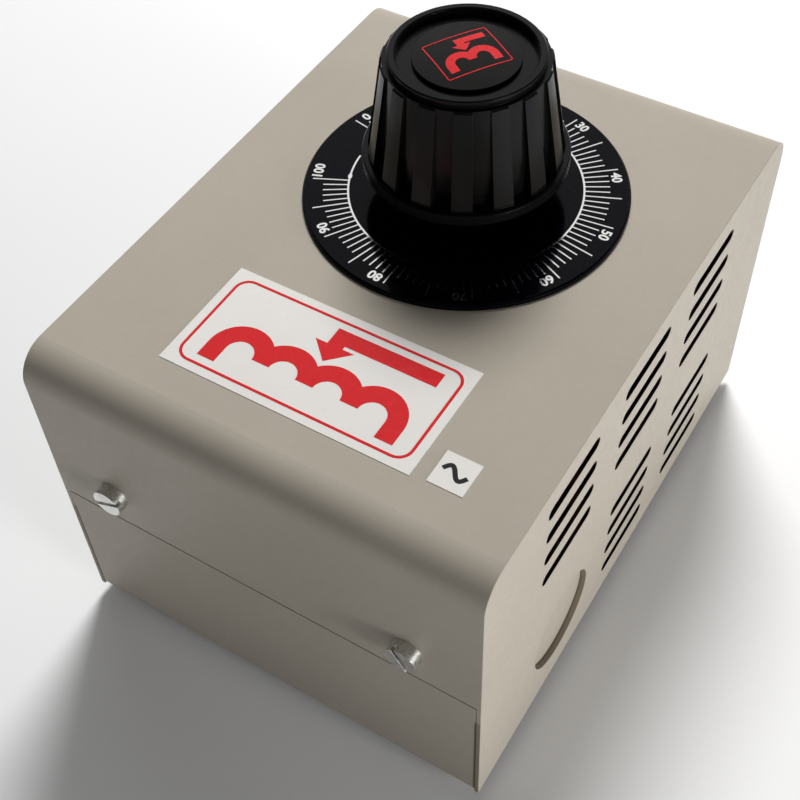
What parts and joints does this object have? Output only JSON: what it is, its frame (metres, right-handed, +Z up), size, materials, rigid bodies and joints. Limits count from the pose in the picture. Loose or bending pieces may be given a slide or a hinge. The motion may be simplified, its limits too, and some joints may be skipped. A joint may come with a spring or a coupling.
{
  "type": "variable autotransformer",
  "caption": "Enclosed bench variable autotransformer: louvred steel case with a fluted knob that swings a carbon brush round a toroidal winding, over a 0 to 100 dial.",
  "frame": {"origin": "centre of the footprint, on the surface that the rubber feet stand on", "axes": "+X to the unit's right, +Y to its rear, +Z up along the spindle"},
  "size_m": [0.127, 0.1738, 0.1478],
  "materials": {
    "case_paint": "satin, fine texture",
    "zinc_steel": "bright zinc plate",
    "rubber_black": "matt",
    "label_white": "semi-gloss film with red print",
    "dial_black": "gloss with white print",
    "knob_black": "satin",
    "cap_black": "satin with a red print",
    "index_white": "satin",
    "shaft_steel": "ground",
    "bronze": "sintered",
    "brass": "machined",
    "cast_aluminium": "as cast",
    "pressboard": "matt",
    "core_steel": "strip wound",
    "former_plastic": "satin",
    "enamelled_copper": "enamelled wire, bared on top",
    "phenolic": "satin",
    "terminal_plastic": "satin",
    "lead_brown": "PVC",
    "lead_blue": "PVC",
    "lead_black": "PVC",
    "lead_green": "PVC, green with a yellow stripe",
    "carbon": "matt"
  },
  "bodies": {
    "case": {"top_cover": "case_paint", "base_tray": "case_paint", "cover_screws": "zinc_steel", "clinch_nuts": "zinc_steel", "feet": "rubber_black", "foot_screws": "zinc_steel", "foot_nuts": "zinc_steel", "front_label": "label_white", "symbol_label": "label_white", "dial_plate": "dial_black", "dial_screws": "zinc_steel", "dial_nuts": "zinc_steel", "lower_bush": "bronze", "upper_bush": "bronze", "core_base": "cast_aluminium", "floor_screws": "zinc_steel", "lower_pad": "pressboard", "core": "core_steel", "former_lower": "former_plastic", "former_upper": "former_plastic", "winding": "enamelled_copper", "upper_pad": "pressboard", "core_clamp": "phenolic", "clamp_bolts": "zinc_steel", "collector_ring": "brass", "stop_post": "shaft_steel", "stop_sleeve": "rubber_black", "terminal_block": "terminal_plastic", "terminal_screws": "brass", "block_screws": "zinc_steel", "block_nuts": "zinc_steel", "earth_stud": "zinc_steel", "earth_tag": "zinc_steel", "earth_nut": "brass", "live_lead": "lead_brown", "neutral_lead": "lead_blue", "output_lead": "lead_black", "earth_lead": "lead_green"},
    "rotor": {"knob_body": "knob_black", "knob_index": "index_white", "knob_insert": "brass", "knob_grub_screw": "shaft_steel", "knob_cap": "cap_black", "shaft": "shaft_steel", "shaft_clip": "shaft_steel", "thrust_washer": "bronze", "shaft_collar": "zinc_steel", "brush_arm": "cast_aluminium", "arm_grub_screw": "shaft_steel", "holder_insulator": "phenolic", "brush_holder": "brass", "brush_spring": "shaft_steel", "brush_cap": "former_plastic", "collector_leaf": "bronze"},
    "brush": {"carbon_brush": "carbon"}
  },
  "joints": [
    {"name": "knob_turn", "type": "hinge", "parent": "case", "child": "rotor", "pos_m": [0, 0.02, 0.1], "axis": [0, 0, -1], "range_deg": [-48.4, 274.4]},
    {"name": "brush_slide", "type": "slide", "parent": "rotor", "child": "brush", "axis": [0, 0, 1], "range_m": [0, 0.002], "stiffness_N_per_m": 300, "springref_m": -0.004, "deforming": ["brush_spring"]}
  ]
}
